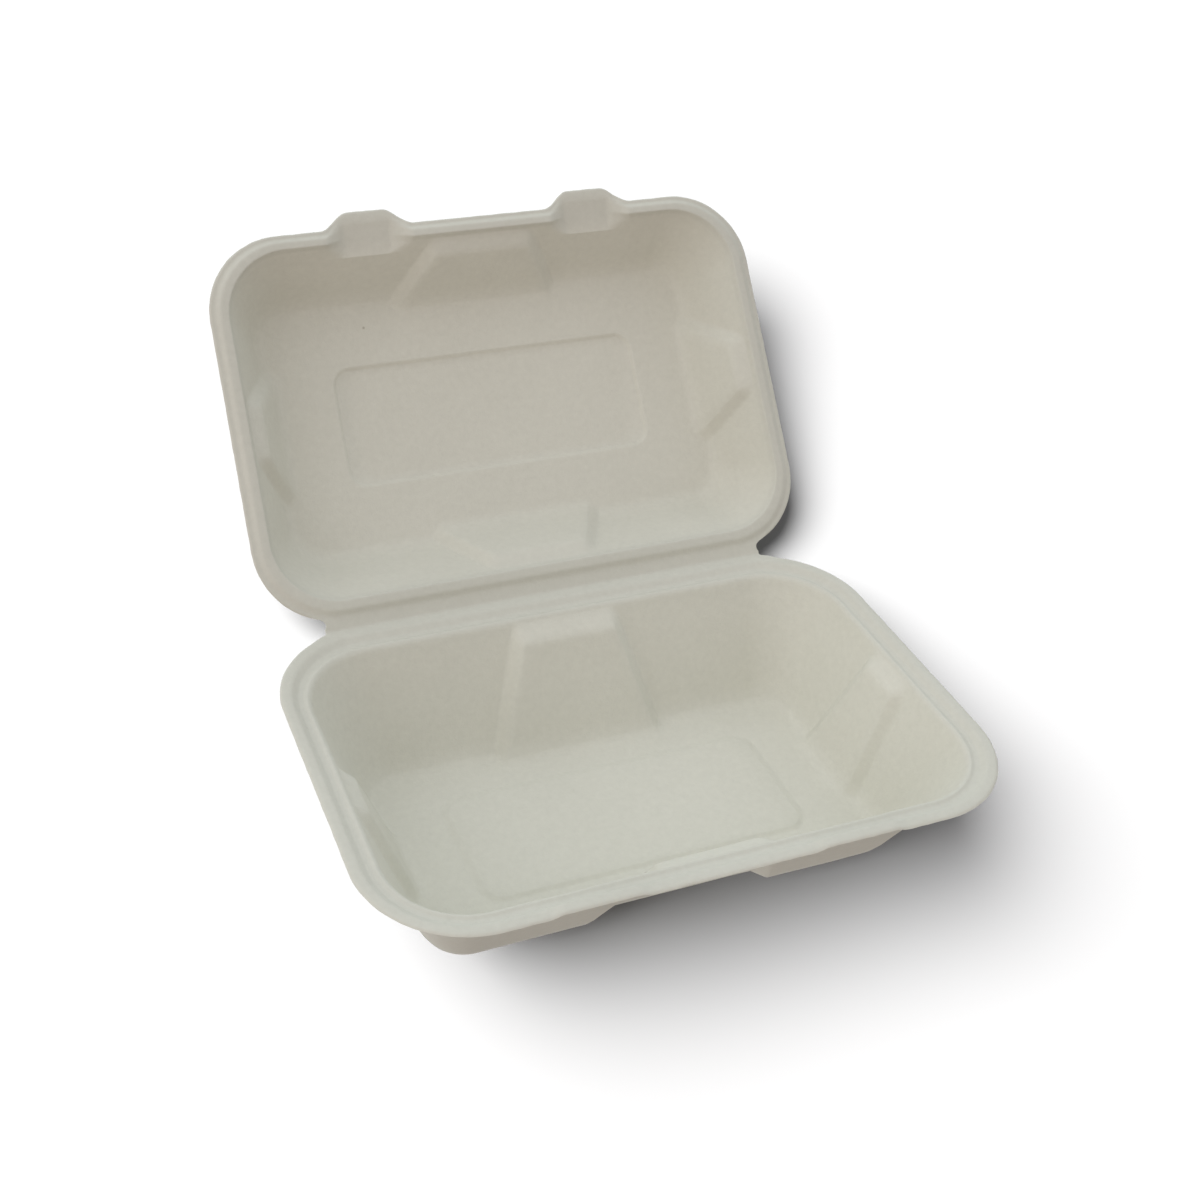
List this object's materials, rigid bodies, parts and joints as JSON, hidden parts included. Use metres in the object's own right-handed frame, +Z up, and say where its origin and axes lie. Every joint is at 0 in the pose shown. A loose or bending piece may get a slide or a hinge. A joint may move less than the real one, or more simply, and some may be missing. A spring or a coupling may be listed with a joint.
{
  "type": "molded fiber clamshell container",
  "caption": "Rectangular molded fibre food container with rounded corners, its hinged lid standing open on a fold.",
  "frame": {"origin": "middle of the bottom of the bounding box, on the table", "axes": "+X along the fold, +Y from the tray to the open lid, +Z up with the container at rest on the tray's back foot and the lid's roof"},
  "size_m": [0.232, 0.2806, 0.1067],
  "materials": {
    "fibre": "matte"
  },
  "bodies": {
    "tray": {"tray": "fibre"},
    "lid": {"lid": "fibre"}
  },
  "joints": [
    {"name": "lid_fold", "type": "hinge", "parent": "tray", "child": "lid", "pos_m": [0, -0.01275, 0.01784], "axis": [1, 0, 0], "range_deg": [-50, 130]}
  ]
}
